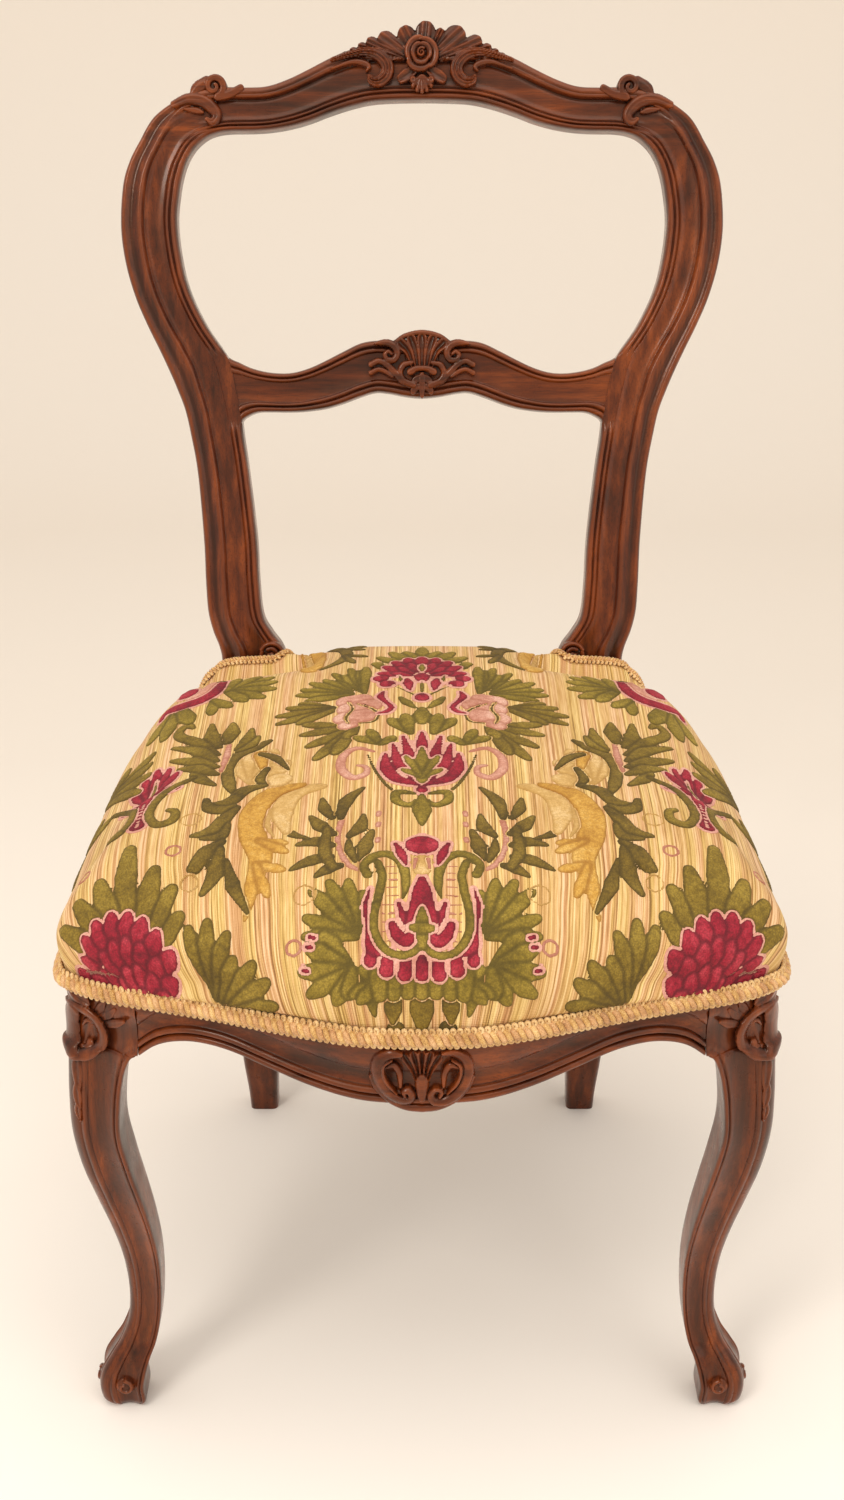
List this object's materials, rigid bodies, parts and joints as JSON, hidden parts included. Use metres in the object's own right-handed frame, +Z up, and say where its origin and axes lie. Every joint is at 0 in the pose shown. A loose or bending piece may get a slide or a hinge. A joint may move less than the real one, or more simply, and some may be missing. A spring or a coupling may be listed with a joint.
{
  "type": "dining chair",
  "caption": "Dining chair with an open moulded loop back, a carved mid rail, curved front legs and a sprung, domed seat edged with braid.",
  "frame": {"origin": "on the floor, under the middle of the chair's overall box", "axes": "+Z up, +Y from the front of the seat towards the back, +X to the viewer's right when the chair is seen from the front"},
  "size_m": [0.4824, 0.5846, 0.923],
  "materials": {
    "walnut_frame": "Dark reddish-brown walnut, rubbed to a satin French polish, with orange-brown light through the polish on the raised mouldings.",
    "walnut_inner": "The same wood, planed but unpolished, where the upholstery hides it.",
    "beech": "Plain planed beech, unfinished, for corner blocks and dowels.",
    "steel": "Plain drawn steel wire and bright wood screws.",
    "velvet_cover": "Figured cut velvet on a cream and gold ground of fine lengthwise stripes, with raised green, crimson and gold flower work.",
    "braid": "Woven gold and cream braid with looped edges.",
    "jute": "Coarse plain-woven jute.",
    "stuffing": "Teased dark hair stuffing, stitched through hessian."
  },
  "bodies": {
    "root": {"back_rail": "walnut_inner", "bottom_cloth": "jute", "corner_block_front_left": "beech", "corner_block_front_right": "beech", "corner_block_rear_left": "beech", "corner_block_rear_right": "beech", "corner_screw_front_left_1": "steel", "corner_screw_front_left_2": "steel", "corner_screw_front_right_1": "steel", "corner_screw_front_right_2": "steel", "corner_screw_rear_left_1": "steel", "corner_screw_rear_left_2": "steel", "corner_screw_rear_right_1": "steel", "corner_screw_rear_right_2": "steel", "crest_dowel_left_1": "beech", "crest_dowel_left_2": "beech", "crest_dowel_right_1": "beech", "crest_dowel_right_2": "beech", "crest_rail": "walnut_frame", "front_leg_left": "walnut_frame", "front_leg_right": "walnut_frame", "front_rail": "walnut_frame", "gimp_back": "braid", "gimp_front": "braid", "gimp_post_left": "braid", "gimp_post_right": "braid", "mid_dowel_left_1": "beech", "mid_dowel_left_2": "beech", "mid_dowel_right_1": "beech", "mid_dowel_right_2": "beech", "mid_rail": "walnut_frame", "rear_post_left": "walnut_frame", "rear_post_right": "walnut_frame", "seat_cover": "velvet_cover", "seat_spring_1": "steel", "seat_spring_2": "steel", "seat_spring_3": "steel", "seat_spring_4": "steel", "seat_spring_5": "steel", "seat_stuffing": "stuffing", "side_rail_left": "walnut_frame", "side_rail_right": "walnut_frame", "spring_platform": "jute", "web_strap_cross_1": "jute", "web_strap_cross_2": "jute", "web_strap_cross_3": "jute", "web_strap_length_1": "jute", "web_strap_length_2": "jute", "web_strap_length_3": "jute"}
  },
  "joints": []
}
